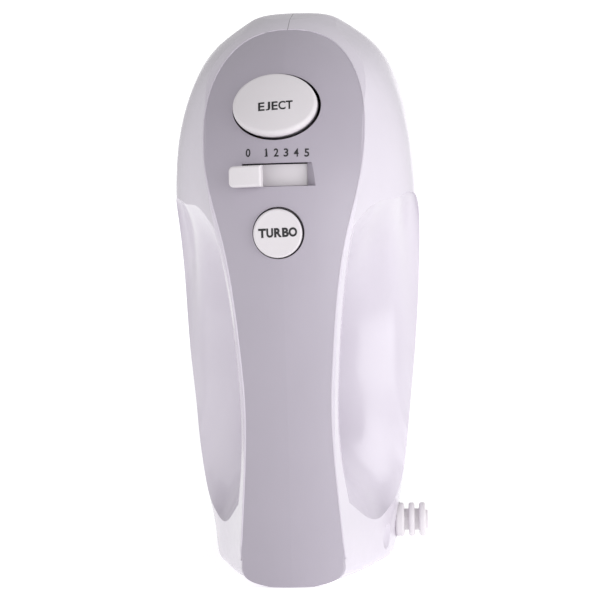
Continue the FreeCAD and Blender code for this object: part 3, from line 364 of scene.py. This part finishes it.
# The built-in type has a bare stroke for 1, so this one is drawn with its flag and foot.
ONE = [(-0.5, 0), (0.5, 0), (0.5, 0.08), (0.2, 0.13), (0.2, 1.0), (0.02, 1.0)]
ONE += [(-0.5, 0.84), (-0.45, 0.76), (-0.2, 0.82), (-0.2, 0.13), (-0.5, 0.08)]
DIGITS = {"0": -10.9, "1": -4.9, "2": -1.6, "3": 1.6, "4": 4.9, "5": 8.3}
DIGIT_WIDTH, ONE_WIDTH, DIGIT_HEIGHT, DIGIT_WEIGHT = 1.55, 1.0, 2.75, 0.02
DIGIT_LINE, DIGIT_SLOPE = 141.72, 0.026
for digit, x in DIGITS.items():
    size = (ONE_WIDTH if digit == "1" else DIGIT_WIDTH, DIGIT_HEIGHT)
    outline = ONE if digit == "1" else None
    place = (x, DIGIT_LINE - DIGIT_SLOPE * x)
    printed("digit_" + digit, digit, place, size, "top_cover", "mixer_body", DIGIT_WEIGHT, outline=outline)

# ---------------------------------------------------------------- bead round the cover

BEAD_RADIUS = 0.42
BEAD_SUNK = 0.2
BEAD_SIDES = 10
BEAD_FROM_UP = 8
BEAD_STEP_UP = 3
NOSE_MIDDLE_UP = 150.0
SEARCH_REACH = 48
NOSE_STEPS = 40
HALVINGS = 16
SAME_DEPTH = 0.02
JUST_INSIDE = 0.999


def surface_depth(tree, x, z):
    """How far back a ray from the front meets a surface, or None."""
    hit = tree.ray_cast(Vector((x * MM, IN_FRONT, z * MM)), BACKWARD)[0]
    return hit.y / MM if hit else None


def on_cover(cover, shells, x, z):
    """True where a ray from the front meets the cover before the housing."""
    front, back = surface_depth(cover, x, z), surface_depth(shells, x, z)
    return front is not None and (back is None or front < back + SAME_DEPTH)


def cover_edge(cover, shells, inner, outer):
    """Halves the line between a place on the cover and one off it until it finds the edge."""
    for _ in range(HALVINGS):
        middle = (inner + outer) / 2
        if on_cover(cover, shells, middle.x, middle.y):
            inner = middle
        else:
            outer = middle
    return inner


def tube_along(name, points, radius):
    """A smooth tube with closed ends, whose line is made of the given points."""
    work = bmesh.new()
    rings = []
    for i, point in enumerate(points):
        along = (points[min(i + 1, len(points) - 1)] - points[max(i - 1, 0)]).normalized()
        side = along.cross(BACKWARD).normalized()
        proud = side.cross(along)
        ring = []
        for k in range(BEAD_SIDES):
            turn = 2 * math.pi * k / BEAD_SIDES
            offset = math.cos(turn) * side + math.sin(turn) * proud
            ring.append(work.verts.new(point + radius * offset))
        rings.append(ring)
    for near, far in zip(rings, rings[1:]):
        for k in range(BEAD_SIDES):
            face = work.faces.new((near[k], near[k - 1], far[k - 1], far[k]))
            face.smooth = True
    work.faces.new(rings[0])
    work.faces.new(rings[-1][::-1])
    bmesh.ops.recalc_face_normals(work, faces=work.faces)
    return add_mesh(name, work)


def cover_bead():
    """Fine raised bead of the white housing round the grey cover, from heel to nose and back."""
    cover, shells = tree_of("top_cover"), tree_of("housing_right", "housing_left")
    heights = range(BEAD_FROM_UP, int(NOSE_MIDDLE_UP), BEAD_STEP_UP)
    lines = [(Vector((0, z)), Vector((SEARCH_REACH, z))) for z in heights]
    nose_middle = Vector((0, NOSE_MIDDLE_UP))
    for i in range(1, NOSE_STEPS):
        turn = math.pi / 2 * i / NOSE_STEPS
        reach = SEARCH_REACH * Vector((math.cos(turn), math.sin(turn)))
        lines.append((nose_middle, nose_middle + reach))
    right = [cover_edge(cover, shells, inner, outer) for inner, outer in lines]
    mirrored = [(Vector((-a.x, a.y)), Vector((-b.x, b.y))) for a, b in lines]
    left = [cover_edge(cover, shells, inner, outer) for inner, outer in mirrored]
    path = []
    for edge in right + left[::-1]:
        y = surface_depth(cover, edge.x * JUST_INSIDE, edge.y) + BEAD_SUNK
        path.append(Vector((edge.x, y, edge.y)) * MM)
    bead = tube_along("cover_bead", path, BEAD_RADIUS * MM)
    bead.data.materials.append(MATERIALS["white_shell"])
    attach(bead, "mixer_body")


cover_bead()

# ---------------------------------------------------------------- springs


def springy(name, node):
    """Stands for a spring or rubber dome: a copy of the node's mesh, attached to the body, with the node
    itself hidden.
    """
    piece = bpy.data.objects.new(name, NODES[node].data.copy())
    bpy.context.scene.collection.objects.link(piece)
    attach(piece, "mixer_body")
    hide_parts(node)
    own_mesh(piece)


springy("eject_spring_coil", "eject_spring")
springy("turbo_rubber_dome", "turbo_dome")

# ---------------------------------------------------------------- stage


FLOOR_HALF = 3.0
FLOOR_CELLS = 8
FLOOR_DROP = 0.0002


def area_light(name, place, target, size, power, colour=(1, 1, 1)):
    """A rectangular light that faces its target."""
    light = bpy.data.lights.new(name, "AREA")
    light.shape = "RECTANGLE"
    light.size, light.size_y = size
    light.energy = power
    light.color = colour
    obj = bpy.data.objects.new(name, light)
    obj.location = place
    obj.rotation_euler = (Vector(target) - Vector(place)).to_track_quat("-Z", "Y").to_euler()
    bpy.context.scene.collection.objects.link(obj)


def pale(name, colour, glow):
    """A matt surface that also glows, for an even studio floor."""
    shader = Shader(name, colour, 0.9, Emission_Color=(1, 1, 1, 1), Emission_Strength=glow)
    shader.mottle(400.0, 0.01)
    return shader.material


grid = bmesh.new()
bmesh.ops.create_grid(grid, x_segments=FLOOR_CELLS, y_segments=FLOOR_CELLS, size=FLOOR_HALF)
floor = add_mesh("floor", grid)
floor.location.z = CAD_BOX[0][2] - FLOOR_DROP
floor.data.materials.append(pale("floor", (0.9, 0.9, 0.9), 0.5))

world = bpy.data.worlds.new("studio")
world.use_nodes = True
sky = world.node_tree
background = sky.nodes["Background"]
background.inputs["Color"].default_value = (1, 1, 1, 1)
direction = sky.nodes.new("ShaderNodeTexCoord").outputs["Generated"]


def sky_ramp(axis, from_low, from_high, low, high):
    """A share of the sky's strength that depends on where it is looked at."""
    along = sky.nodes.new("ShaderNodeVectorMath")
    along.operation = "DOT_PRODUCT"
    along.inputs[1].default_value = axis
    ramp = sky.nodes.new("ShaderNodeMapRange")
    for socket, value in zip(("From Min", "From Max", "To Min", "To Max"), (from_low, from_high, low, high)):
        ramp.inputs[socket].default_value = value
    sky.links.new(direction, along.inputs[0])
    sky.links.new(along.outputs["Value"], ramp.inputs["Value"])
    return ramp.outputs["Result"]


# Brighter to the right and below; darker flags beside the white background keep the pale edges readable.
around = sky_ramp((0.85, 0.0, -0.52), -1.0, 1.0, 0.68, 1.18)
flags = sky_ramp((0.0, 1.0, 0.0), 0.68, 0.88, 0.0, -0.3)
behind = sky_ramp((0.0, 1.0, 0.0), 0.945, 0.955, 0.0, 0.8)
above = sky_ramp((0.0, 0.0, 1.0), 0.1, 1.0, 0.0, -0.3)
strength = around
for extra in (flags, behind, above):
    total = sky.nodes.new("ShaderNodeMath")
    sky.links.new(strength, total.inputs[0])
    sky.links.new(extra, total.inputs[1])
    strength = total.outputs[0]
sky.links.new(strength, background.inputs["Strength"])
bpy.context.scene.world = world
bpy.context.scene.view_settings.view_transform = "Standard"

area_light("key", (0.62, -0.5, 0.02), (0, 0, 0.06), (0.55, 0.9), 2.4, (0.98, 0.97, 1.0))
area_light("low_right", (0.42, -0.3, 0.0), (0.02, 0, 0.07), (0.4, 0.45), 0.7)
area_light("low_left", (-0.42, -0.2, 0.0), (-0.02, 0, 0.05), (0.4, 0.45), 0.4)

# ---------------------------------------------------------------- camera

SENSOR_WIDTH = 36.0
LENS = 103.6
EYE = Vector((0.045, -0.623, 0.0945))
PAN, TILT, ROLL = math.radians(4.1), math.radians(-0.07), math.radians(1.3)

camera_data = bpy.data.cameras.new("camera")
camera_data.sensor_width = SENSOR_WIDTH
camera_data.lens = LENS
camera = bpy.data.objects.new("camera", camera_data)
pan = Matrix.Rotation(PAN, 4, "Z")
tilt = Matrix.Rotation(math.pi / 2 + TILT, 4, "X")
look = pan @ tilt @ Matrix.Rotation(-ROLL, 4, "Z")
camera.matrix_world = Matrix.Translation(EYE) @ look
bpy.context.scene.collection.objects.link(camera)
bpy.context.scene.camera = camera
